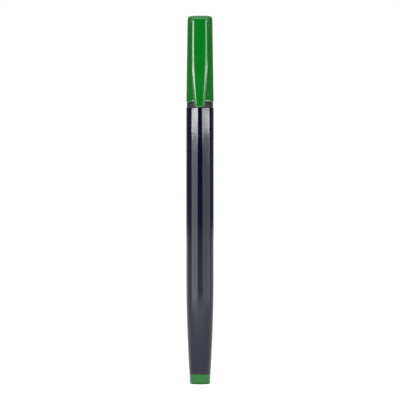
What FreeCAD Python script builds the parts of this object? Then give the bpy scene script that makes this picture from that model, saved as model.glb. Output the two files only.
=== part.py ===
import FreeCAD, Part
import math
import os

# A capped felt-reservoir brush pen, in millimetres. The pen's axis is Z, with the tail at the bottom and the
# crown of the cap at the top. The clip is on the -Y side. The origin is the centre of the tail's flat end.

# Overall
PEN_LENGTH = 147.0
BODY_RADIUS = 5.45
FIT_GAP = 0.03
SLIDING_GAP = 0.05
WALL = 1.0

# Barrel
TAIL_HEAD_LENGTH = 4.0
TAPER_END_Z = 42.0
TAIL_RADIUS = 4.25
BARREL_TOP_Z = 110.3
PLUG_SEAT_RADIUS = 3.3
PLUG_SEAT_TOP_Z = 11.0
RIB_COUNT = 6
RIB_THICKNESS = 0.6
RIB_INNER_RADIUS = 3.6
RIB_OUTER_RADIUS = 4.6
RIB_BOTTOM_Z = 13.0
RIB_TOP_Z = 96.0
BARREL_RIM_ROUNDING = 0.12

# Tail plug
PLUG_DRAFT = 0.1
PLUG_FACE_ROUNDING = 0.9
PLUG_SHANK_TOP_Z = 12.0
PLUG_BORE_RADIUS = 2.3
PLUG_BORE_BOTTOM_Z = 3.0

# Ink reservoir
RESERVOIR_BOTTOM_Z = 12.5
RESERVOIR_TOP_Z = 98.0
FILM_OUTER_RADIUS = 3.55
FILM_THICKNESS = 0.1
RELAY_RADIUS = 0.8
RELAY_BOTTOM_Z = 88.0
RELAY_TOP_Z = 132.0

# Front section
COLLAR_TOP_Z = 112.5
COLLAR_RADIUS = 5.25
SKIRT_BOTTOM_Z = 99.0
SKIRT_INNER_RADIUS = 3.6
SKIRT_BORE_TOP_Z = 116.0
NECK_RADIUS = 4.3
NECK_TOP_Z = 120.5
SNAP_RING_Z = 117.6
SNAP_RING_RADIUS = 4.42
SNAP_RING_HEIGHT = 1.2
CONE_BOTTOM_Z = 121.3
CONE_BOTTOM_RADIUS = 3.5
CONE_TOP_Z = 133.0
CONE_TOP_RADIUS = 2.35
NOSE_RADIUS = 2.0
NOSE_TOP_Z = 137.4
NOSE_ROUNDING = 0.3
CHANNEL_RADIUS = 0.95
CHANNEL_BOTTOM_Z = 122.0
HOLDER_RADIUS = 1.45
HOLDER_BOTTOM_Z = 131.5
HOLDER_TOP_Z = 138.1
HOLDER_BORE_RADIUS = 0.85
HOLDER_CHAMFER = 0.3

# Brush nib
NIB_TIP_Z = 142.0
NIB_RADIUS = 0.95
NIB_POINT_RADIUS = 0.12
NIB_SHOULDER_HEIGHT = 1.3
NIB_POINT_HEIGHT = 1.2
NIB_PIVOT_Z = 138.2
NIB_SHANK_RADIUS = 0.82

# Cap
CAP_MOUTH_Z = 112.55
CAP_TOP_RADIUS = 4.95
CROWN_ROUNDING = 1.4
MOUTH_ROUNDING = 0.15
CAP_BORE_RADIUS = SNAP_RING_RADIUS + SLIDING_GAP
CAP_BORE_TOP_Z = 121.0
CAP_UPPER_BORE_RADIUS = 3.95
CAP_CEILING_Z = 145.0

# Inner cap
INNER_CAP_MOUTH_Z = 124.0
INNER_CAP_COLLAR_TOP_Z = 126.5
INNER_CAP_RADIUS = CAP_UPPER_BORE_RADIUS - FIT_GAP
INNER_CAP_WAIST_RADIUS = 3.1
INNER_CAP_FLANGE_Z = 142.2
INNER_CAP_CEILING_Z = 143.4
SEAL_GAP = 0.08

# Clip
CLIP_FACE_Y = 7.55
CLIP_THICKNESS = 1.2
CLIP_TIP_Z = 110.3
CLIP_TOP_HALF_WIDTH = 3.5
CLIP_BELLY_HALF_WIDTH = 3.6
CLIP_BELLY_Z = 135.0
CLIP_NARROW_HALF_WIDTH = 2.45
CLIP_NARROW_Z = 115.3
CLIP_END_RADIUS = 1.85
CLIP_BEVEL = 0.5
CLIP_BEAD_Z = 113.8
CLIP_BEAD_Y = 5.75
CLIP_BEAD_HALF_HEIGHT = 1.9
KNUCKLE_RADIUS = 1.25
CLIP_TOP_DROP = 0.2
KNUCKLE_Y = CLIP_FACE_Y - KNUCKLE_RADIUS
KNUCKLE_Z = PEN_LENGTH - CLIP_TOP_DROP - KNUCKLE_RADIUS
KNUCKLE_GAP = 0.08
ROOT_DEPTH = 2.9
ROOT_EMBEDDING = 0.2

# Points nearer than this are the same
COINCIDENT = 0.001

V = FreeCAD.Vector
UP = V(0, 0, 1)
CENTRE = V(0, 0, 0)


def point(radius, z):
    return V(radius, 0, z)


def turned(edges):
    """Solid of revolution about Z of a closed outline in the XZ plane."""
    face = Part.Face(Part.Wire(edges))
    return face.revolve(CENTRE, UP, 360)


def straight_edges(corners):
    """Lines from each (radius, z) corner to the next, left open at the end."""
    points = [point(*corner) for corner in corners]
    return [Part.LineSegment(a, b).toShape() for a, b in zip(points, points[1:])]


def turned_polygon(corners):
    return turned(straight_edges(corners + corners[:1]))


def rounded_at(solid, size, circles):
    """Rounds the circular edges about Z that have one of the given (radius, z) values."""
    chosen = []
    for edge in solid.Edges:
        curve = edge.Curve
        if not isinstance(curve, Part.Circle):
            continue
        for radius, z in circles:
            if abs(curve.Radius - radius) < COINCIDENT and abs(curve.Center.z - z) < COINCIDENT:
                chosen.append(edge)
    return solid.makeFillet(size, chosen)


def taper_radius(z):
    """Radius of the tail's long taper, an arc that leaves the straight barrel tangentially."""
    reach = TAPER_END_Z - TAIL_HEAD_LENGTH
    drop = BODY_RADIUS - TAIL_RADIUS
    arc_radius = (reach**2 + drop**2) / (2 * drop)
    return BODY_RADIUS - arc_radius + math.sqrt(arc_radius**2 - (TAPER_END_Z - z) ** 2)


def taper_arc(bottom_z, inset):
    """Arc of the taper from bottom_z up to its end, moved inwards by inset."""
    middle_z = (bottom_z + TAPER_END_Z) / 2
    ends = [point(taper_radius(z) - inset, z) for z in (bottom_z, middle_z, TAPER_END_Z)]
    return Part.Arc(*ends).toShape()


def make_barrel():
    """Long moulded tube, tapered at the tail, with ribs inside that centre the reservoir."""
    outside = [taper_arc(TAIL_HEAD_LENGTH, 0)]
    bore = BODY_RADIUS - WALL
    outside += straight_edges([(BODY_RADIUS, TAPER_END_Z), (BODY_RADIUS, BARREL_TOP_Z), (bore, BARREL_TOP_Z)])
    inside = straight_edges([(bore, BARREL_TOP_Z), (bore, TAPER_END_Z)])
    inside.append(taper_arc(PLUG_SEAT_TOP_Z, WALL))
    inside += straight_edges(
        [
            (taper_radius(PLUG_SEAT_TOP_Z) - WALL, PLUG_SEAT_TOP_Z),
            (PLUG_SEAT_RADIUS, PLUG_SEAT_TOP_Z),
            (PLUG_SEAT_RADIUS, TAIL_HEAD_LENGTH),
            (TAIL_RADIUS, TAIL_HEAD_LENGTH),
        ]
    )
    tube = rounded_at(turned(outside + inside), BARREL_RIM_ROUNDING, [(BODY_RADIUS, BARREL_TOP_Z)])
    rib_size = (RIB_OUTER_RADIUS - RIB_INNER_RADIUS, RIB_THICKNESS, RIB_TOP_Z - RIB_BOTTOM_Z)
    for index in range(RIB_COUNT):
        rib = Part.makeBox(*rib_size, V(RIB_INNER_RADIUS, -RIB_THICKNESS / 2, RIB_BOTTOM_Z))
        rib.rotate(CENTRE, UP, index * 360 / RIB_COUNT)
        tube = tube.fuse(rib)
    return tube.removeSplitter()


def make_tail_plug():
    """Plug in the ink colour that closes the tail, with a hollow shank pressed into the barrel."""
    shank = PLUG_SEAT_RADIUS - FIT_GAP
    plug = turned_polygon(
        [
            (0, 0),
            (TAIL_RADIUS - PLUG_DRAFT, 0),
            (TAIL_RADIUS, TAIL_HEAD_LENGTH),
            (shank, TAIL_HEAD_LENGTH),
            (shank, PLUG_SHANK_TOP_Z),
            (PLUG_BORE_RADIUS, PLUG_SHANK_TOP_Z),
            (PLUG_BORE_RADIUS, PLUG_BORE_BOTTOM_Z),
            (0, PLUG_BORE_BOTTOM_Z),
        ]
    )
    return rounded_at(plug, PLUG_FACE_ROUNDING, [(TAIL_RADIUS - PLUG_DRAFT, 0)])


def make_reservoir_film():
    """Thin plastic wrap around the fibre bundle, open at both ends."""
    height = RESERVOIR_TOP_Z - RESERVOIR_BOTTOM_Z
    base = V(0, 0, RESERVOIR_BOTTOM_Z)
    outside = Part.makeCylinder(FILM_OUTER_RADIUS, height, base)
    inside = Part.makeCylinder(FILM_OUTER_RADIUS - FILM_THICKNESS, height, base)
    return outside.cut(inside)


def make_reservoir_fibre():
    """Bundle of polyester fibre that holds the ink, pierced at the top by the relay core."""
    radius = FILM_OUTER_RADIUS - FILM_THICKNESS - FIT_GAP
    base = V(0, 0, RESERVOIR_BOTTOM_Z)
    bundle = Part.makeCylinder(radius, RESERVOIR_TOP_Z - RESERVOIR_BOTTOM_Z, base)
    hole_height = RESERVOIR_TOP_Z - RELAY_BOTTOM_Z
    hole = Part.makeCylinder(RELAY_RADIUS + FIT_GAP, hole_height, V(0, 0, RELAY_BOTTOM_Z))
    return bundle.cut(hole)


def make_relay_core():
    """Rod of bonded fibre that carries the ink from the reservoir to the nib."""
    return Part.makeCylinder(RELAY_RADIUS, RELAY_TOP_Z - RELAY_BOTTOM_Z, V(0, 0, RELAY_BOTTOM_Z))


def make_front_section():
    """Stepped front moulding: skirt in the barrel, visible collar, neck with a snap ring, cone and nose."""
    skirt = BODY_RADIUS - WALL - FIT_GAP
    ring_bottom = SNAP_RING_Z - SNAP_RING_HEIGHT / 2
    ring_top = SNAP_RING_Z + SNAP_RING_HEIGHT / 2
    ring_slope = SNAP_RING_HEIGHT / 4
    section = turned_polygon(
        [
            (SKIRT_INNER_RADIUS, SKIRT_BOTTOM_Z),
            (skirt, SKIRT_BOTTOM_Z),
            (skirt, BARREL_TOP_Z),
            (COLLAR_RADIUS, BARREL_TOP_Z),
            (COLLAR_RADIUS, COLLAR_TOP_Z),
            (NECK_RADIUS, COLLAR_TOP_Z),
            (NECK_RADIUS, ring_bottom),
            (SNAP_RING_RADIUS, ring_bottom + ring_slope),
            (SNAP_RING_RADIUS, ring_top - ring_slope),
            (NECK_RADIUS, ring_top),
            (NECK_RADIUS, NECK_TOP_Z),
            (CONE_BOTTOM_RADIUS, CONE_BOTTOM_Z),
            (CONE_TOP_RADIUS, CONE_TOP_Z),
            (NOSE_RADIUS, CONE_TOP_Z + CONE_TOP_RADIUS - NOSE_RADIUS),
            (NOSE_RADIUS, NOSE_TOP_Z),
            (HOLDER_RADIUS + FIT_GAP, NOSE_TOP_Z),
            (HOLDER_RADIUS + FIT_GAP, HOLDER_BOTTOM_Z),
            (CHANNEL_RADIUS, HOLDER_BOTTOM_Z),
            (CHANNEL_RADIUS, CHANNEL_BOTTOM_Z),
            (SKIRT_INNER_RADIUS, SKIRT_BORE_TOP_Z),
        ]
    )
    return rounded_at(section, NOSE_ROUNDING, [(NOSE_RADIUS, NOSE_TOP_Z)])


def make_nib_holder():
    """Short sleeve pressed into the nose, with a round seat at its mouth that the nib leans in."""
    height = HOLDER_TOP_Z - HOLDER_BOTTOM_Z
    base = V(0, 0, HOLDER_BOTTOM_Z)
    sleeve = Part.makeCylinder(HOLDER_RADIUS, height, base)
    sleeve = sleeve.makeChamfer(HOLDER_CHAMFER, [sleeve.Edges[0]])
    sleeve = sleeve.cut(Part.makeCylinder(HOLDER_BORE_RADIUS, height, base))
    return sleeve.cut(Part.makeSphere(NIB_RADIUS + SLIDING_GAP, V(0, 0, NIB_PIVOT_Z)))


def make_nib_shank():
    """Rear of the nib, gripped in the holder, where it meets the relay core."""
    height = NIB_PIVOT_Z - NIB_RADIUS - SLIDING_GAP - RELAY_TOP_Z
    return Part.makeCylinder(NIB_SHANK_RADIUS, height, V(0, 0, RELAY_TOP_Z))


def make_nib_tip():
    """Soft pointed tip, round at its base about the point where it bends."""
    lean = NIB_RADIUS * math.sqrt(0.5)
    base = point(0, NIB_PIVOT_Z - NIB_RADIUS)
    ball = Part.Arc(base, point(lean, NIB_PIVOT_Z - lean), point(NIB_RADIUS, NIB_PIVOT_Z))
    side = Part.BezierCurve()
    side.setPoles(
        [
            point(NIB_RADIUS, NIB_PIVOT_Z),
            point(NIB_RADIUS, NIB_PIVOT_Z + NIB_SHOULDER_HEIGHT),
            point(NIB_RADIUS / 2, NIB_TIP_Z - NIB_POINT_HEIGHT),
            point(NIB_POINT_RADIUS, NIB_TIP_Z),
        ]
    )
    closing = straight_edges([(NIB_POINT_RADIUS, NIB_TIP_Z), (0, NIB_TIP_Z), (0, base.z)])
    return turned([ball.toShape(), side.toShape()] + closing)


def make_cap_shell():
    """Tapered cap with a closed rounded crown and the root block that the clip springs from."""
    shell = turned_polygon(
        [
            (CAP_BORE_RADIUS, CAP_MOUTH_Z),
            (BODY_RADIUS, CAP_MOUTH_Z),
            (CAP_TOP_RADIUS, PEN_LENGTH),
            (0, PEN_LENGTH),
            (0, CAP_CEILING_Z),
            (CAP_UPPER_BORE_RADIUS, CAP_CEILING_Z),
            (CAP_UPPER_BORE_RADIUS, CAP_BORE_TOP_Z + CAP_BORE_RADIUS - CAP_UPPER_BORE_RADIUS),
            (CAP_BORE_RADIUS, CAP_BORE_TOP_Z),
        ]
    )
    shell = rounded_at(shell, CROWN_ROUNDING, [(CAP_TOP_RADIUS, PEN_LENGTH)])
    shell = rounded_at(shell, MOUTH_ROUNDING, [(BODY_RADIUS, CAP_MOUTH_Z)])
    root_inner_y = CAP_UPPER_BORE_RADIUS + ROOT_EMBEDDING
    root_top_z = KNUCKLE_Z + KNUCKLE_RADIUS
    root = Part.makeBox(
        2 * CLIP_TOP_HALF_WIDTH,
        KNUCKLE_Y - root_inner_y,
        ROOT_DEPTH,
        V(-CLIP_TOP_HALF_WIDTH, -KNUCKLE_Y, root_top_z - ROOT_DEPTH),
    )
    bore = Part.makeCylinder(CAP_UPPER_BORE_RADIUS, CAP_CEILING_Z, CENTRE)
    root = root.cut(bore).cut(knuckle(KNUCKLE_GAP))
    return shell.fuse(root).removeSplitter()


def knuckle(growth):
    """Cylinder along X about the clip's bending axis, larger all round by growth."""
    half = CLIP_TOP_HALF_WIDTH + growth
    return Part.makeCylinder(KNUCKLE_RADIUS + growth, 2 * half, V(-half, -KNUCKLE_Y, KNUCKLE_Z), V(1, 0, 0))


def make_inner_cap():
    """Soft thimble fixed under the crown that closes around the cone and keeps the nib moist."""
    slope = (CONE_BOTTOM_RADIUS - CONE_TOP_RADIUS) / (CONE_TOP_Z - CONE_BOTTOM_Z)
    mouth = CONE_BOTTOM_RADIUS - slope * (INNER_CAP_MOUTH_Z - CONE_BOTTOM_Z) + SEAL_GAP
    throat = CONE_TOP_RADIUS + SEAL_GAP
    return turned_polygon(
        [
            (mouth, INNER_CAP_MOUTH_Z),
            (INNER_CAP_RADIUS, INNER_CAP_MOUTH_Z),
            (INNER_CAP_RADIUS, INNER_CAP_COLLAR_TOP_Z),
            (INNER_CAP_WAIST_RADIUS, CONE_TOP_Z),
            (INNER_CAP_WAIST_RADIUS, INNER_CAP_FLANGE_Z),
            (INNER_CAP_RADIUS, INNER_CAP_FLANGE_Z),
            (INNER_CAP_RADIUS, CAP_CEILING_Z),
            (0, CAP_CEILING_Z),
            (0, INNER_CAP_CEILING_Z),
            (throat, INNER_CAP_CEILING_Z),
            (throat, CONE_TOP_Z),
        ]
    )


def clip_outline():
    """Front view of the clip's tongue: widest in its upper third, narrowing to a round end."""
    left = [
        V(-CLIP_TOP_HALF_WIDTH, 0, KNUCKLE_Z),
        V(-CLIP_BELLY_HALF_WIDTH, 0, CLIP_BELLY_Z),
        V(-CLIP_NARROW_HALF_WIDTH, 0, CLIP_NARROW_Z),
        V(-CLIP_END_RADIUS, 0, CLIP_TIP_Z + CLIP_END_RADIUS),
    ]
    right = [V(-p.x, 0, p.z) for p in reversed(left)]
    edges = []
    for side in (left, right):
        curve = Part.BSplineCurve()
        curve.interpolate(side)
        edges.append(curve.toShape())
    edges.insert(1, Part.Arc(left[-1], V(0, 0, CLIP_TIP_Z), right[0]).toShape())
    edges.append(Part.LineSegment(right[-1], left[0]).toShape())
    return Part.Face(Part.Wire(edges))


def make_clip():
    """Broad springy tongue with bevelled front edges, a knuckle at its root and a bead near its end."""
    tongue = clip_outline().extrude(V(0, -CLIP_THICKNESS, 0))
    tongue.translate(V(0, CLIP_THICKNESS - CLIP_FACE_Y, 0))
    front_edges = []
    for edge in tongue.Edges:
        on_front = abs(edge.BoundBox.YMax + CLIP_FACE_Y) < COINCIDENT
        if on_front and edge.BoundBox.ZMin < KNUCKLE_Z - KNUCKLE_RADIUS:
            front_edges.append(edge)
    tongue = tongue.makeChamfer(CLIP_BEVEL, front_edges)
    bead_profile = [
        V(0, CLIP_THICKNESS / 2 - CLIP_FACE_Y, CLIP_BEAD_Z - CLIP_BEAD_HALF_HEIGHT),
        V(0, CLIP_THICKNESS - CLIP_FACE_Y, CLIP_BEAD_Z - CLIP_BEAD_HALF_HEIGHT),
        V(0, -CLIP_BEAD_Y, CLIP_BEAD_Z),
        V(0, CLIP_THICKNESS - CLIP_FACE_Y, CLIP_BEAD_Z + CLIP_BEAD_HALF_HEIGHT),
        V(0, CLIP_THICKNESS / 2 - CLIP_FACE_Y, CLIP_BEAD_Z + CLIP_BEAD_HALF_HEIGHT),
    ]
    bead_edges = [
        Part.LineSegment(bead_profile[0], bead_profile[1]).toShape(),
        Part.Arc(*bead_profile[1:4]).toShape(),
        Part.LineSegment(bead_profile[3], bead_profile[4]).toShape(),
        Part.LineSegment(bead_profile[4], bead_profile[0]).toShape(),
    ]
    bead = Part.Face(Part.Wire(bead_edges)).extrude(V(2 * CLIP_END_RADIUS, 0, 0))
    bead.translate(V(-CLIP_END_RADIUS, 0, 0))
    return tongue.fuse([knuckle(0), bead]).removeSplitter()


PARTS = {
    "barrel": make_barrel,
    "tail_plug": make_tail_plug,
    "reservoir_film": make_reservoir_film,
    "reservoir_fibre": make_reservoir_fibre,
    "relay_core": make_relay_core,
    "front_section": make_front_section,
    "nib_holder": make_nib_holder,
    "nib_shank": make_nib_shank,
    "nib_tip": make_nib_tip,
    "cap_shell": make_cap_shell,
    "inner_cap": make_inner_cap,
    "clip": make_clip,
}

os.makedirs("parts", exist_ok=True)
for node, make in PARTS.items():
    shape = make()
    print(node, shape.isValid(), len(shape.Solids), round(shape.Volume, 2))
    shape.exportStep("parts/" + node + ".step")
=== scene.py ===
from math import cos, pi, radians, sin, sqrt

import bmesh
import bpy
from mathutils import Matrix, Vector


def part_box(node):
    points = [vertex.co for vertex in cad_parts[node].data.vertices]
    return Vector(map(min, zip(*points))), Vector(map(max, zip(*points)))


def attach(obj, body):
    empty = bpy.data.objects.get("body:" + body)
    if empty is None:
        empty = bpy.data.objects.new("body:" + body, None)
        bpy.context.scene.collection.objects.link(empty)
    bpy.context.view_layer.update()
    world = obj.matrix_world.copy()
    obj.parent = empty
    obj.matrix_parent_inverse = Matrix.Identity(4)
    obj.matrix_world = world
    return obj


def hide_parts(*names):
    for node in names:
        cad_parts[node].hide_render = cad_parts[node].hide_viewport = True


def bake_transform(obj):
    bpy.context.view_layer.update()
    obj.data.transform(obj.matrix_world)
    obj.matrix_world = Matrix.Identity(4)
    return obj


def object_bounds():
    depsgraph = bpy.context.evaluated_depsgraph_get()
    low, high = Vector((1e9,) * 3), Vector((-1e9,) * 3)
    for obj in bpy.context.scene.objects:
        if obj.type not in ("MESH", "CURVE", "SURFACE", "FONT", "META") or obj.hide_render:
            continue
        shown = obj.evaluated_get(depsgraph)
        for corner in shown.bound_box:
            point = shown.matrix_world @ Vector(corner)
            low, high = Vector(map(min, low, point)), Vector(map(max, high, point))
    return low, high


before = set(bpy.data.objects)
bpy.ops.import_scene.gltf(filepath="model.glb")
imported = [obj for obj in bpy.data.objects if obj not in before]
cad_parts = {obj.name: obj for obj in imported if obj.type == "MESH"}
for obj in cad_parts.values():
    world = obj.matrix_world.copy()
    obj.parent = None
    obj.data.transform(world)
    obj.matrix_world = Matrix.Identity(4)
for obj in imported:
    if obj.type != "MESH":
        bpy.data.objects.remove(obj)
cad_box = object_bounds()

# --------------------------------------------------------------------------------------------------
# Barrel. The long tube that the hand holds, injection moulded in near-black blue plastic with a polished
# skin. It is straight under the cap and narrows in one long curve to the tail. The front section is pressed
# into its open top.
# --------------------------------------------------------------------------------------------------
MM = 0.001
TURN_STEPS = 128

# Two places are taken as one within NEAR, and points closer than MERGE_GAP are merged.
NEAR = 2e-6
MERGE_GAP = 1e-7


def deselect_all():
    bpy.ops.object.select_all(action="DESELECT")


def pick(test, kind="VERT"):
    """Selects, in edit mode, the vertices, edges or faces whose every vertex passes the test."""
    bpy.ops.mesh.select_mode(type=kind)
    bpy.ops.mesh.select_all(action="DESELECT")
    mesh = bmesh.from_edit_mesh(bpy.context.object.data)
    elements = {"VERT": mesh.verts, "EDGE": mesh.edges, "FACE": mesh.faces}[kind]
    for element in elements:
        corners = [element] if kind == "VERT" else element.verts
        element.select_set(all(test(corner.co) for corner in corners))
    mesh.select_flush_mode()
    bmesh.update_edit_mesh(bpy.context.object.data)


def start_ring(name, radius, height, steps=TURN_STEPS):
    """A new piece in edit mode that is one ring about the pen's axis."""
    deselect_all()
    bpy.ops.mesh.primitive_circle_add(
        vertices=steps, radius=radius, location=(0, 0, height), rotation=(0, 0, -pi / 2)
    )
    bpy.ops.object.transform_apply(location=True, rotation=True)
    piece = bpy.context.object
    piece.name = name
    piece.data.name = name
    bpy.ops.object.mode_set(mode="EDIT")
    bpy.ops.mesh.select_mode(type="VERT")
    bpy.ops.mesh.select_all(action="SELECT")
    return piece


def raise_rings(outline):
    """Extrudes the selected ring from each (radius, height) of the outline to the next."""
    for (radius, height), (next_radius, next_height) in zip(outline, outline[1:]):
        bpy.ops.mesh.extrude_region_move(TRANSFORM_OT_translate={"value": (0, 0, next_height - height)})
        scale = next_radius / radius
        bpy.ops.transform.resize(value=(scale, scale, 1), center_override=(0, 0, next_height))


def round_rings(rings, size, segments=5):
    """Bevels the sharp rings at these (radius, height) places."""

    def on_ring(co):
        around = Vector((co.x, co.y)).length
        return any(abs(around - r) < NEAR and abs(co.z - z) < NEAR for r, z in rings)

    pick(on_ring, "EDGE")
    bpy.ops.mesh.bevel(
        offset=size, offset_type="OFFSET", segments=segments, profile=0.5, clamp_overlap=True
    )


def finish_turning(piece, crease_angle=30):
    """Closes what is open, points the faces outwards and shades all but the sharp edges smooth."""
    bpy.ops.mesh.select_mode(type="VERT")
    bpy.ops.mesh.select_all(action="SELECT")
    bpy.ops.mesh.remove_doubles(threshold=MERGE_GAP)
    bpy.ops.mesh.fill_holes(sides=0)
    bpy.ops.mesh.select_all(action="SELECT")
    bpy.ops.mesh.normals_make_consistent(inside=False)
    bpy.ops.object.mode_set(mode="OBJECT")
    bpy.ops.object.shade_smooth_by_angle(angle=radians(crease_angle))
    weighting = piece.modifiers.new("long faces stay straight", "WEIGHTED_NORMAL")
    weighting.keep_sharp = True
    bpy.ops.object.modifier_apply(modifier=weighting.name)
    return piece


def turned(name, outline, rounded=(), closed=False):
    """A turned piece: its outline is raised about the axis, then each (size, rings) is bevelled."""
    piece = start_ring(name, *outline[0])
    raise_rings(outline + outline[:1] if closed else outline)
    bpy.ops.mesh.select_all(action="SELECT")
    bpy.ops.mesh.remove_doubles(threshold=MERGE_GAP)
    for size, rings in rounded:
        round_rings(rings, size)
    return finish_turning(piece)


def new_material(name, rough, color):
    """A material with its shader, and a helper that adds a node with its settings and inputs."""
    material = bpy.data.materials.new(name)
    material.use_nodes = True
    tree = material.node_tree
    shader = tree.nodes["Principled BSDF"]
    shader.inputs["Base Color"].default_value = (*color, 1)
    shader.inputs["Roughness"].default_value = rough

    def add(kind, inputs=(), **settings):
        node = tree.nodes.new(kind)
        for key, value in settings.items():
            setattr(node, key, value)
        for key, value in dict(inputs).items():
            if isinstance(value, bpy.types.NodeSocket):
                tree.links.new(value, node.inputs[key])
            else:
                node.inputs[key].default_value = value
        return node

    return material, tree, shader, add


def ramp(add, value, stops):
    """A colour ramp over the value, with (position, colour or grey) stops."""
    node = add("ShaderNodeValToRGB", {"Fac": value})
    while len(node.color_ramp.elements) < len(stops):
        node.color_ramp.elements.new(0.5)
    for element, (position, color) in zip(node.color_ramp.elements, stops):
        element.position = position
        element.color = (*color, 1) if isinstance(color, tuple) else (color, color, color, 1)
    return node.outputs["Color"]


def noise(add, scale, detail=2.0, stretch=(1, 1, 1), rough=0.5):
    """Noise in the piece's own coordinates, scale features to the metre, drawn out by the stretch."""
    place = add("ShaderNodeTexCoord").outputs["Object"]
    mapped = add("ShaderNodeMapping", {"Vector": place, "Scale": tuple(scale / s for s in stretch)})
    inputs = {"Vector": mapped.outputs["Vector"], "Scale": 1.0, "Detail": detail, "Roughness": rough}
    return add("ShaderNodeTexNoise", inputs).outputs["Fac"]


def moulded_gloss(name, color, darker, rough_low, rough_high, gloss_ior):
    """Polished moulding: faint flow shading, orange peel, rubbing scratches and a thin haze of handling."""
    material, tree, shader, add = new_material(name, rough_low, color)
    flow = noise(add, 90, 3.0, (1, 1, 6))
    tree.links.new(ramp(add, flow, [(0.3, darker), (0.7, color)]), shader.inputs["Base Color"])

    haze = ramp(add, noise(add, 160, 4.0, (1, 1, 2.5)), [(0.38, 0.0), (0.68, 1.0)])
    scuffs = ramp(add, noise(add, 5200, 2.0, (1, 1, 60)), [(0.62, 0.0), (0.72, 1.0)])
    worn = add("ShaderNodeMath", {0: haze, 1: scuffs}, operation="MULTIPLY").outputs[0]
    smear = add("ShaderNodeMath", {0: haze, 1: 0.25}, operation="MULTIPLY").outputs[0]
    marks = add("ShaderNodeMath", {0: worn, 1: smear}, operation="MAXIMUM").outputs[0]
    spread = add("ShaderNodeMapRange", {"Value": marks, "To Min": rough_low, "To Max": rough_high})
    tree.links.new(spread.outputs["Result"], shader.inputs["Roughness"])

    peel = add("ShaderNodeBump", {"Height": noise(add, 900, 1.0), "Strength": 0.12, "Distance": 0.00002})
    scratch = add(
        "ShaderNodeBump",
        {"Height": scuffs, "Strength": 0.15, "Distance": 0.000004, "Normal": peel.outputs["Normal"]},
        invert=True,
    )
    tree.links.new(scratch.outputs["Normal"], shader.inputs["Normal"])
    shader.inputs["IOR"].default_value = gloss_ior
    return material


def dress(piece, material):
    """Gives a piece its one material."""
    piece.data.materials.clear()
    piece.data.materials.append(material)


barrel_low, barrel_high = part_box("barrel")
barrel_radius = barrel_high.x
tail_radius = 4.25 * MM
taper_end = 42 * MM
taper_rings = 14
wall = 1 * MM
seat_top = 11 * MM
plug_seat_radius = 3.3 * MM


def taper_radius(height):
    """Radius of the tail's long curve, an arc that leaves the straight barrel without a corner."""
    reach = taper_end - barrel_low.z
    drop = barrel_radius - tail_radius
    arc = (reach**2 + drop**2) / (2 * drop)
    return barrel_radius - arc + sqrt(arc**2 - (taper_end - height) ** 2)


rising = [barrel_low.z + (taper_end - barrel_low.z) * i / taper_rings for i in range(taper_rings + 1)]
falling = [taper_end - (taper_end - seat_top) * i / taper_rings for i in range(taper_rings + 1)]
bore_radius = barrel_radius - wall
barrel_outline = [(taper_radius(z), z) for z in rising]
barrel_outline += [(barrel_radius, barrel_high.z), (bore_radius, barrel_high.z)]
barrel_outline += [(taper_radius(z) - wall, z) for z in falling]
barrel_outline += [(plug_seat_radius, seat_top), (plug_seat_radius, barrel_low.z)]
barrel = turned(
    "barrel_tube",
    barrel_outline,
    [(0.14 * MM, [(barrel_radius, barrel_high.z)]), (0.1 * MM, [(tail_radius, barrel_low.z)])],
    closed=True,
)
dress(
    barrel,
    moulded_gloss("barrel gloss", (0.0011, 0.0009, 0.0095), (0.0008, 0.0006, 0.0072), 0.05, 0.24, 1.41),
)
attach(barrel, "pen_body")
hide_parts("barrel")

# --------------------------------------------------------------------------------------------------
# Tail plug. A short cup moulded in the colour of the ink, pressed into the tail once the pen is filled.
# Its head carries on the barrel's line, with a rounded end face and the small dimple of the moulding gate.
# --------------------------------------------------------------------------------------------------
GREEN = (0.0006, 0.079, 0.006)
DEEP_GREEN = (0.0005, 0.07, 0.0053)

plug_low, plug_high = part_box("tail_plug")
plug_rim = tail_radius - 0.1 * MM
joint_gap = 0.02 * MM
head_top = barrel_low.z - joint_gap
shank_radius = plug_seat_radius - 0.03 * MM
plug_bore = 2.3 * MM
plug_floor = 3 * MM
gate_radius = 0.55 * MM
gate_depth = 0.18 * MM
plug_outline = [
    (gate_radius * 0.5, plug_low.z + gate_depth),
    (gate_radius, plug_low.z + gate_depth * 0.7),
    (gate_radius * 1.3, plug_low.z),
    (plug_rim, plug_low.z),
    (tail_radius, head_top),
    (shank_radius, head_top),
    (shank_radius, plug_high.z),
    (plug_bore, plug_high.z),
    (plug_bore, plug_floor),
]
plug = turned(
    "tail_plug_head",
    plug_outline,
    [
        (0.9 * MM, [(plug_rim, plug_low.z)]),
        (0.1 * MM, [(tail_radius, head_top)]),
        (0.25 * MM, [(shank_radius, plug_high.z)]),
    ],
)
green_gloss = moulded_gloss("ink colour gloss", GREEN, DEEP_GREEN, 0.07, 0.26, 1.46)
dress(plug, green_gloss)
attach(plug, "pen_body")
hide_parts("tail_plug")

# --------------------------------------------------------------------------------------------------
# Ink reservoir and relay core. A bundle of crimped polyester fibre, soaked with ink and wrapped in clear
# film, slides into the barrel's ribs. A thin rod of bonded fibre leads the ink from it to the nib.
# --------------------------------------------------------------------------------------------------
fibre_material, tree, shader, add = new_material("inked fibre", 0.7, (0.01, 0.16, 0.03))
strands = noise(add, 6000, 3.0, (1, 1, 40))
fibre_greens = [(0.3, (0.003, 0.07, 0.012)), (0.55, (0.01, 0.17, 0.03)), (0.8, (0.05, 0.32, 0.09))]
tree.links.new(ramp(add, strands, fibre_greens), shader.inputs["Base Color"])
strand_bump = add("ShaderNodeBump", {"Height": strands, "Strength": 0.6, "Distance": 0.00006})
tree.links.new(strand_bump.outputs["Normal"], shader.inputs["Normal"])
shader.inputs["Sheen Weight"].default_value = 0.2
for node in ("reservoir_fibre", "relay_core"):
    dress(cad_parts[node], fibre_material)

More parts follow.
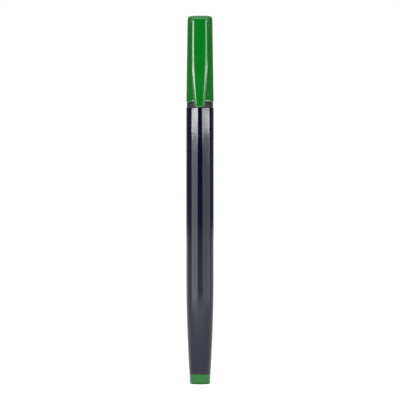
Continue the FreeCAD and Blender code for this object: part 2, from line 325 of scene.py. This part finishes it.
film_material, tree, shader, add = new_material("reservoir wrap", 0.12, (0.85, 0.88, 0.88))
shader.inputs["Transmission Weight"].default_value = 0.9
shader.inputs["IOR"].default_value = 1.5
creases = noise(add, 500, 3.0, (1, 1, 4))
tree.links.new(ramp(add, creases, [(0.35, 0.08), (0.7, 0.3)]), shader.inputs["Roughness"])
crease_bump = add("ShaderNodeBump", {"Height": creases, "Strength": 0.4, "Distance": 0.00008})
tree.links.new(crease_bump.outputs["Normal"], shader.inputs["Normal"])
dress(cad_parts["reservoir_film"], film_material)

# --------------------------------------------------------------------------------------------------
# Front section. One satin-black moulding pressed into the barrel up to its collar, a dull band below the
# cap. Above it are the neck with the low ring that the cap snaps over, the cone and the nose.
# --------------------------------------------------------------------------------------------------
section_low, section_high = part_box("front_section")
cap_low, cap_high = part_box("cap_shell")
skirt_bore = 3.6 * MM
skirt_bore_top = 116 * MM
skirt_radius = 4.42 * MM
collar_radius = section_high.x
collar_bottom = barrel_high.z + joint_gap
collar_top = cap_low.z - 0.05 * MM
neck_radius = 4.3 * MM
neck_top = 120.5 * MM
snap_ring = 117.6 * MM
snap_radius = 4.42 * MM
snap_land = 0.3 * MM
snap_reach = 0.6 * MM
cone_foot = (3.5 * MM, 121.3 * MM)
cone_top = (2.35 * MM, 133 * MM)
nose_radius = 2 * MM
holder_radius = 1.45 * MM
holder_seat = holder_radius + 0.03 * MM
holder_seat_floor = 131.5 * MM
channel_radius = 0.95 * MM
channel_bottom = 122 * MM
section_outline = [
    (skirt_bore, section_low.z),
    (skirt_radius, section_low.z),
    (skirt_radius, collar_bottom),
    (collar_radius, collar_bottom),
    (collar_radius, collar_top),
    (neck_radius, collar_top),
    (neck_radius, snap_ring - snap_reach),
    (snap_radius, snap_ring - snap_land),
    (snap_radius, snap_ring + snap_land),
    (neck_radius, snap_ring + snap_reach),
    (neck_radius, neck_top),
    cone_foot,
    cone_top,
    (nose_radius, cone_top[1] + cone_top[0] - nose_radius),
    (nose_radius, section_high.z),
    (holder_seat, section_high.z),
    (holder_seat, holder_seat_floor),
    (channel_radius, holder_seat_floor),
    (channel_radius, channel_bottom),
    (skirt_bore, skirt_bore_top),
]
section = turned(
    "front_section_moulding",
    section_outline,
    [
        (0.1 * MM, [(collar_radius, collar_bottom), (collar_radius, collar_top)]),
        (0.12 * MM, [(snap_radius, snap_ring - snap_land), (snap_radius, snap_ring + snap_land)]),
        (0.3 * MM, [(neck_radius, neck_top), cone_foot, (nose_radius, section_high.z)]),
    ],
    closed=True,
)


def moulded_satin(name, color, lighter, rough_low, rough_high):
    """Lightly sparked moulding: an even fine grain, with the high spots polished by handling."""
    material, tree, shader, add = new_material(name, rough_high, color)
    blotches = noise(add, 220, 3.0)
    tree.links.new(ramp(add, blotches, [(0.35, color), (0.75, lighter)]), shader.inputs["Base Color"])
    polish = ramp(add, noise(add, 500, 4.0), [(0.3, rough_low), (0.6, rough_high)])
    tree.links.new(polish, shader.inputs["Roughness"])
    shader.inputs["IOR"].default_value = 1.36
    grain = add("ShaderNodeBump", {"Height": noise(add, 9000, 2.0), "Strength": 0.35, "Distance": 0.00001})
    tree.links.new(grain.outputs["Normal"], shader.inputs["Normal"])
    return material


dress(
    section,
    moulded_satin("section satin", (0.0045, 0.0042, 0.0075), (0.008, 0.0075, 0.012), 0.36, 0.52),
)
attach(section, "pen_body")
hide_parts("front_section")

# --------------------------------------------------------------------------------------------------
# Nib holder. A small black sleeve pressed into the nose. It grips the nib's shank, and its chamfered mouth
# has a round seat that the nib's shoulder leans in.
# --------------------------------------------------------------------------------------------------
holder_low, holder_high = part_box("nib_holder")
holder_bore = 0.85 * MM
holder_chamfer = 0.3 * MM
seat_radius = 0.97 * MM
seat_depth = 0.5 * MM
holder_outline = [
    (holder_bore, holder_low.z),
    (holder_radius, holder_low.z),
    (holder_radius, holder_high.z - holder_chamfer),
    (holder_radius - holder_chamfer, holder_high.z),
    (seat_radius, holder_high.z),
    (seat_radius * 0.95, holder_high.z - seat_depth * 0.6),
    (holder_bore, holder_high.z - seat_depth),
]
chamfer_rings = holder_outline[2:4]
holder = turned("nib_holder_sleeve", holder_outline, [(0.08 * MM, chamfer_rings)], closed=True)
dress(
    holder,
    moulded_satin("holder satin", (0.022, 0.022, 0.024), (0.034, 0.034, 0.036), 0.3, 0.42),
)
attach(holder, "pen_body")
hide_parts("nib_holder")

# --------------------------------------------------------------------------------------------------
# Brush nib. One piece of soft porous plastic: a straight shank in the holder, a shoulder at its mouth, and
# a point that bends with the stroke. It is soaked with green ink, darkest and wettest towards the point.
# --------------------------------------------------------------------------------------------------
shank_low, shank_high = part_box("nib_shank")
nib_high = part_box("nib_tip")[1]
nib_radius = nib_high.x
nib_foot = holder_high.z
nib_rings = 26


def nib_side(t):
    """Radius and height along the nib's side, a Bezier curve from the shoulder to the point."""
    poles = [
        Vector((nib_radius, nib_foot)),
        Vector((nib_radius, nib_foot + 1.4 * MM)),
        Vector((nib_radius / 2, nib_high.z - 1.2 * MM)),
        Vector((0.1 * MM, nib_high.z - 0.05 * MM)),
    ]
    weights = [(1 - t) ** 3, 3 * t * (1 - t) ** 2, 3 * t**2 * (1 - t), t**3]
    return tuple(sum((weight * pole for weight, pole in zip(weights, poles)), Vector((0, 0))))


nib_outline = [
    (shank_high.x, shank_low.z),
    (shank_high.x, nib_foot - 0.5 * MM),
    (nib_radius * 0.93, nib_foot - 0.15 * MM),
]
nib_outline += [nib_side(i / nib_rings) for i in range(nib_rings + 1)]
nib_outline += [(0.05 * MM, nib_high.z)]
nib = turned("brush_nib", nib_outline, [(0.1 * MM, [(shank_high.x, shank_low.z)])])

nib_material, tree, shader, add = new_material("inked nib", 0.4, (0.01, 0.12, 0.02))
place = add("ShaderNodeSeparateXYZ", {"Vector": add("ShaderNodeTexCoord").outputs["Object"]})
soak = add(
    "ShaderNodeMapRange",
    {"Value": place.outputs["Z"], "From Min": nib_foot, "From Max": nib_high.z},
)
pores = noise(add, 14000, 3.0)
mottled = add(
    "ShaderNodeMath",
    {0: noise(add, 2200, 3.0), 1: 0.35, 2: soak.outputs["Result"]},
    operation="MULTIPLY_ADD",
)
nib_greens = [(0.1, (0.02, 0.2, 0.05)), (0.6, (0.006, 0.1, 0.018)), (1.0, (0.002, 0.045, 0.008))]
tree.links.new(ramp(add, mottled.outputs[0], nib_greens), shader.inputs["Base Color"])
tree.links.new(ramp(add, pores, [(0.35, 0.55), (0.65, 0.26)]), shader.inputs["Roughness"])
pore_bump = add("ShaderNodeBump", {"Height": pores, "Strength": 0.5, "Distance": 0.00003})
tree.links.new(pore_bump.outputs["Normal"], shader.inputs["Normal"])
dress(nib, nib_material)
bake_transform(nib)
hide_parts("nib_shank", "nib_tip")

# --------------------------------------------------------------------------------------------------
# Inner cap. A soft milky thimble fixed under the crown, flared at its mouth. It closes around the cone when
# the pen is capped and keeps the nib moist. Its inside is stained by the ink.
# --------------------------------------------------------------------------------------------------
inner_low, inner_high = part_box("inner_cap")
inner_radius = inner_high.x
seal_gap = 0.08 * MM
slope = (cone_foot[0] - cone_top[0]) / (cone_top[1] - cone_foot[1])
mouth_radius = cone_foot[0] - slope * (inner_low.z - cone_foot[1]) + seal_gap
throat_radius = cone_top[0] + seal_gap
throat_top = 143.4 * MM
waist_radius = 3.1 * MM
flange_bottom = 142.2 * MM
skirt_top = 126.5 * MM
inner_outline = [
    (throat_radius, throat_top),
    (throat_radius, cone_top[1]),
    (mouth_radius, inner_low.z),
    (inner_radius, inner_low.z),
    (inner_radius, skirt_top),
    (waist_radius, cone_top[1]),
    (waist_radius, flange_bottom),
    (inner_radius, flange_bottom),
    (inner_radius, inner_high.z),
]
inner_cap = turned(
    "inner_cap_thimble",
    inner_outline,
    [
        (0.15 * MM, [(mouth_radius, inner_low.z), (inner_radius, inner_low.z), (inner_radius, skirt_top)]),
        (0.4 * MM, [(throat_radius, throat_top), (waist_radius, flange_bottom)]),
    ],
)
MILKY = (0.72, 0.72, 0.68)
INK_STAIN = (0.12, 0.42, 0.18)
milky, tree, shader, add = new_material("milky thimble", 0.42, MILKY)
blots = ramp(add, noise(add, 420, 3.0), [(0.56, 0.0), (0.66, 0.7)])
stain = add(
    "ShaderNodeMix",
    {"Factor": blots, "A": (*MILKY, 1), "B": (*INK_STAIN, 1)},
    data_type="RGBA",
)
tree.links.new(stain.outputs["Result"], shader.inputs["Base Color"])
tree.links.new(ramp(add, noise(add, 700, 2.0), [(0.3, 0.34), (0.7, 0.5)]), shader.inputs["Roughness"])
shader.inputs["Subsurface Weight"].default_value = 0.4
shader.inputs["Subsurface Scale"].default_value = 0.001
dress(inner_cap, milky)
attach(inner_cap, "cap")
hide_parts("inner_cap")

# --------------------------------------------------------------------------------------------------
# Cap and clip. One glossy moulding in the ink colour: a tapered shell with a rounded crown, and a broad
# tongue that grows out of the crown, turns down and runs past the mouth. A bead behind its end grips the
# pocket.
# --------------------------------------------------------------------------------------------------
CAP_STEPS = 48
ROOT_COLUMNS = 6
STEP_ANGLE = 2 * pi / CAP_STEPS
SMOOTHING_LEVELS = 2

clip_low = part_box("clip")[0]
mouth_z = cap_low.z
crown_z = cap_high.z
mouth_outer = cap_high.x
crown_radius = 4.95 * MM
bore_mouth = 4.47 * MM
bore_mouth_top = 121 * MM
bore_top = 3.95 * MM
bore_step = 122 * MM
ceiling_z = inner_high.z
soft_edge = 0.16 * MM
gate_mark = 0.12 * MM


def cap_radius(height):
    """Outer radius of the straight tapered wall."""
    return mouth_outer - (mouth_outer - crown_radius) * (height - mouth_z) / (crown_z - mouth_z)


root_rings = [143.3 * MM, 144.2 * MM, 144.9 * MM, 145.6 * MM]
shoulder_rings = [(4.8 * MM, 146.35 * MM), (4.4 * MM, 146.8 * MM)]
cap_outline = [(2.4 * MM, ceiling_z), (bore_top - soft_edge, ceiling_z), (bore_top, ceiling_z - soft_edge)]
cap_outline += [(bore_top, 135 * MM), (bore_top, bore_step)]
cap_outline += [(bore_mouth, bore_mouth_top), (bore_mouth, 117 * MM)]
cap_outline += [(bore_mouth, mouth_z + 2 * soft_edge), (bore_mouth + soft_edge / 2, mouth_z)]
cap_outline += [(mouth_outer - soft_edge, mouth_z), (mouth_outer, mouth_z + soft_edge)]
cap_outline += [(cap_radius(z * MM), z * MM) for z in (113.2, 116, 120, 124, 128, 132, 136, 139.5, 142)]
cap_outline += [(cap_radius(z), z) for z in root_rings] + shoulder_rings
cap_outline += [(radius * MM, crown_z) for radius in (3.8, 2.2, 0.95)]
cap_outline += [(radius * MM, crown_z - gate_mark) for radius in (0.8, 0.3)]

# Smoothing draws a ring in, so the cage is grown by as much as the smooth wall would fall short.
limit_growth = 3 / (2 + cos(STEP_ANGLE))
cap = start_ring("cap_with_clip", cap_outline[0][0] * limit_growth, ceiling_z, steps=CAP_STEPS)
raise_rings([(radius * limit_growth, height) for radius, height in cap_outline])
bpy.ops.mesh.select_all(action="SELECT")
bpy.ops.mesh.fill_holes(sides=0)
bpy.ops.mesh.select_all(action="SELECT")
bpy.ops.mesh.normals_make_consistent(inside=False)

# The root is drawn out of the wall and shoulder on the clip's side, in flat steps, to the tongue's face.
face_depth = -clip_low.y
back_depth = 6.35 * MM
root_width = 3.5 * MM
root_top = 146.84 * MM
ROOT_CORNER = 1.3 * MM
ROOT_CORNER_SHARE = 0.8
root_rows = root_rings + [height for radius, height in shoulder_rings]
half_angle = STEP_ANGLE * (ROOT_COLUMNS + 0.2)


def in_root(co):
    outside = Vector((co.x, co.y)).length > shoulder_rings[-1][0] - NEAR
    on_clip_side = -co.y > 0 and abs(co.x) < -co.y * sin(half_angle) / cos(half_angle)
    return outside and on_clip_side and root_rows[0] - NEAR < co.z < root_rows[-1] + NEAR


def flatten_rows(depth, half_width, rows, new_rows):
    """Moves each row of the drawn wall to its new height and half width, drawn in at the top corners."""
    corner_foot = new_rows[-1] - ROOT_CORNER
    for height, new_height in reversed(list(zip(rows, new_rows))):
        pick(lambda co: abs(co.y + depth) < NEAR and abs(co.z - height) < NEAR)
        mesh = bmesh.from_edit_mesh(cap.data)
        widest = max(vert.co.x for vert in mesh.verts if vert.select)
        rise = max(0, new_height - corner_foot)
        drawn_in = ROOT_CORNER - sqrt(ROOT_CORNER**2 - rise**2)
        scale = (half_width - drawn_in * ROOT_CORNER_SHARE) / widest
        bpy.ops.transform.resize(value=(scale, 1, 1), center_override=(0, 0, 0))
        bpy.ops.transform.translate(value=(0, 0, new_height - height))


def spread(low, high):
    """The root's rows, in the same proportions, between these heights."""
    share = [(height - root_rows[0]) / (root_rows[-1] - root_rows[0]) for height in root_rows]
    return [low + (high - low) * part for part in share]


pick(in_root, "FACE")
rows = root_rows
root_foot = 143.75 * MM
for depth, half_width, new_rows in (
    (5.4 * MM, 3.42 * MM, spread(root_foot, 146.82 * MM)),
    (back_depth, root_width, spread(root_foot, root_top)),
    (6.6 * MM, root_width, spread(root_foot, 146.75 * MM)),
    (face_depth, root_width, spread(root_foot, 145.85 * MM)),
):
    bpy.ops.mesh.extrude_region_move(TRANSFORM_OT_translate={"value": (0, -0.1 * MM, 0)})
    bpy.ops.transform.resize(value=(1, 0, 1), center_override=(0, -depth, 0))
    flatten_rows(depth, half_width, rows, new_rows)
    rows = new_rows
    pick(lambda co: abs(co.y + depth) < NEAR and co.z > root_foot - NEAR, "FACE")

# The tongue is drawn down from the root's underside. It is widest a third of the way down and then narrows.
belly_z = 135 * MM
narrow_z = 112.15 * MM
belly_width = 3.6 * MM
end_width = 2.12 * MM
narrowing = 1.95
tip_z = clip_low.z - 0.03 * MM
tip_stations = [(111.1 * MM, 1.95 * MM), (110.5 * MM, 1.6 * MM), (tip_z, 0.95 * MM)]


def tongue_width(height):
    """Half width of the tongue at this height."""
    for station, half_width in tip_stations:
        if abs(height - station) < NEAR:
            return half_width
    if height > belly_z:
        risen = min(1, (height - belly_z) / (root_foot - belly_z))
        return belly_width - (belly_width - root_width) * risen**2
    drawn = (belly_z - height) / (belly_z - narrow_z)
    return belly_width - (belly_width - end_width) * drawn**narrowing


pick(lambda co: abs(co.z - root_foot) < NEAR and -co.y > back_depth - NEAR, "FACE")
bead_rises = [(115.4 * MM, 0.12 * MM), (114.4 * MM, 0.5 * MM), (113.4 * MM, 0.6 * MM)]
bead_rises += [(narrow_z, 0.15 * MM)]
stations = [z * MM for z in (142.6, 140, 137, 134, 131, 128, 125, 122, 119.5, 117.2)]
stations += [height for height, rise in bead_rises]
stations += [height for height, half_width in tip_stations]
height = root_foot
for next_height in stations:
    bpy.ops.mesh.extrude_region_move(TRANSFORM_OT_translate={"value": (0, 0, next_height - height)})
    scale = tongue_width(next_height) / tongue_width(height)
    bpy.ops.transform.resize(value=(scale, 1, 1), center_override=(0, 0, next_height))
    height = next_height

# The face is very slightly crowned and its long edges fall away in a round.
FACE_CROWN = 0.04 * MM
EDGE_FALL = 0.7 * MM
for column in range(1, ROOT_COLUMNS + 1):
    share = sin(STEP_ANGLE * column) / sin(STEP_ANGLE * ROOT_COLUMNS)

    def in_column(co):
        on_face = abs(co.y + face_depth) < NEAR
        return on_face and abs(abs(co.x) - share * tongue_width(co.z)) < 4 * NEAR

    pick(in_column)
    bpy.ops.transform.translate(value=(0, FACE_CROWN * share**2 + EDGE_FALL * share**8, 0))

# The bead is raised behind the end, and the tip's last ring is drawn in to round it over.
bead_half = 1.9 * MM
middle_depth = 6.9 * MM


def on_bead(co):
    return abs(co.y + back_depth) < NEAR and abs(co.z - bead_height) < NEAR and abs(co.x) < bead_half


for bead_height, rise in bead_rises:
    pick(on_bead)
    bpy.ops.transform.translate(value=(0, rise, 0))
pick(lambda co: abs(co.z - tip_z) < NEAR)
bpy.ops.transform.resize(value=(1, 0.5, 1), center_override=(0, -middle_depth, 0))

bpy.ops.object.mode_set(mode="OBJECT")
smoothing = cap.modifiers.new("smoothing", "SUBSURF")
smoothing.levels = SMOOTHING_LEVELS
smoothing.render_levels = SMOOTHING_LEVELS
bpy.ops.object.modifier_apply(modifier=smoothing.name)
bpy.ops.object.shade_smooth_by_angle(angle=radians(50))
dress(cap, green_gloss)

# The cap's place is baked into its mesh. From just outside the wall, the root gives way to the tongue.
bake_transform(cap)
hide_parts("cap_shell", "clip")

# --------------------------------------------------------------------------------------------------
# Studio. A plain pale floor under a bright ceiling, in a white room. Soft boxes stand to the left and
# right, with a dark gap between them at the camera, for the paired highlights of a glossy tube. The short
# bright pair gives the patches just below the cap.
# --------------------------------------------------------------------------------------------------
pen_low, pen_high = cad_box
pen_middle = Vector((0, 0, (pen_low[2] + pen_high[2]) / 2))
floor_half = 6.0
box_distance = 0.6
bpy.context.scene.view_settings.view_transform = "Standard"

paper, tree, shader, add = new_material("pale paper", 0.8, (0.79, 0.79, 0.785))
paper_shades = [(0.3, (0.78, 0.78, 0.775)), (0.7, (0.8, 0.8, 0.795))]
tree.links.new(ramp(add, noise(add, 300, 4.0), paper_shades), shader.inputs["Base Color"])

deselect_all()
bpy.ops.mesh.primitive_plane_add(size=2 * floor_half, location=(0, 0, 0))
floor = bpy.context.object
floor.name = "studio_floor"
floor.data.materials.append(paper)


def area_light(name, place, target, width, height, radiance):
    """A rectangular light at its place that faces the target, and that the camera doesn't see."""
    data = bpy.data.lights.new(name, "AREA")
    data.shape = "RECTANGLE"
    data.size = width
    data.size_y = height
    data.energy = radiance * pi * width * height
    light = bpy.data.objects.new(name, data)
    bpy.context.scene.collection.objects.link(light)
    light.location = place
    light.rotation_euler = (place - target).to_track_quat("Z", "Y").to_euler()
    light.visible_camera = False


def soft_box(name, side, inner, outer, bottom, top, radiance):
    """A light from the inner to the outer angle off the camera, on its left (-1) or right (1)."""
    middle = radians(inner + outer) / 2
    half = radians(outer - inner) / 2
    width = 2 * box_distance * sin(half) / cos(half)
    height = (bottom + top) / 2
    place = Vector((side * box_distance * sin(middle), -box_distance * cos(middle), height))
    area_light(name, place, Vector((0, 0, height)), width, top - bottom, radiance)


patch_bottom = 0.1125
patch_top = 0.127
high_top = 0.2
soft_box("low_left_box", -1, 19, 74, 0, patch_bottom, 3.2)
soft_box("low_right_box", 1, 23, 95, 0, patch_bottom, 1.7)
soft_box("patch_left_box", -1, 17, 74, patch_bottom, patch_top, 26.5)
soft_box("patch_right_box", 1, 19, 88, patch_bottom, patch_top, 17.0)
soft_box("high_left_box", -1, 15, 46, patch_top, high_top, 14.5)
soft_box("high_right_box", 1, 15, 46, patch_top, high_top, 8.0)
area_light("front_box", Vector((0, -0.6, 0.42)), pen_middle, 0.5, 0.3, 8.5)

# The room is dark behind the camera, dim at the sides and bright overhead. Seen directly it is white.
world = bpy.data.worlds.new("studio")
world.use_nodes = True
nodes = world.node_tree.nodes
links = world.node_tree.links
axes = nodes.new("ShaderNodeSeparateXYZ")
links.new(nodes.new("ShaderNodeTexCoord").outputs["Generated"], axes.inputs["Vector"])


def shade_along(axis, low, high, low_shade, high_shade):
    """A grey that goes from low_shade to high_shade between two places along an axis of the room."""
    shade = nodes.new("ShaderNodeMapRange")
    shade.inputs["From Min"].default_value = low
    shade.inputs["From Max"].default_value = high
    shade.inputs["To Min"].default_value = low_shade
    shade.inputs["To Max"].default_value = high_shade
    links.new(axes.outputs[axis], shade.inputs["Value"])
    return shade.outputs["Result"]


wall_shade = shade_along("Y", -0.85, 0, 0.03, 0.2)
ceiling_shade = shade_along("Z", 0.35, 0.6, 0, 1.68)
room = nodes.new("ShaderNodeMath")
room.operation = "MAXIMUM"
links.new(wall_shade, room.inputs[0])
links.new(ceiling_shade, room.inputs[1])
seen = nodes.new("ShaderNodeMath")
seen.operation = "MAXIMUM"
links.new(room.outputs[0], seen.inputs[0])
links.new(nodes.new("ShaderNodeLightPath").outputs["Is Camera Ray"], seen.inputs[1])
links.new(seen.outputs[0], nodes["Background"].inputs["Strength"])
nodes["Background"].inputs["Color"].default_value = (1, 1, 1, 1)
bpy.context.scene.world = world

CAMERA_DISTANCE = 1.5
CAMERA_TURN = radians(1.3)
FRAME_FILL = 0.92
view = bpy.data.cameras.new("view")
seen_height = (pen_high[2] - pen_low[2]) / FRAME_FILL
view.lens = view.sensor_width * CAMERA_DISTANCE / seen_height
camera = bpy.data.objects.new("view", view)
bpy.context.scene.collection.objects.link(camera)
away = Vector((sin(CAMERA_TURN), -cos(CAMERA_TURN), 0)) * CAMERA_DISTANCE
camera.location = pen_middle + away
camera.rotation_euler = away.to_track_quat("Z", "Y").to_euler()
bpy.context.scene.camera = camera
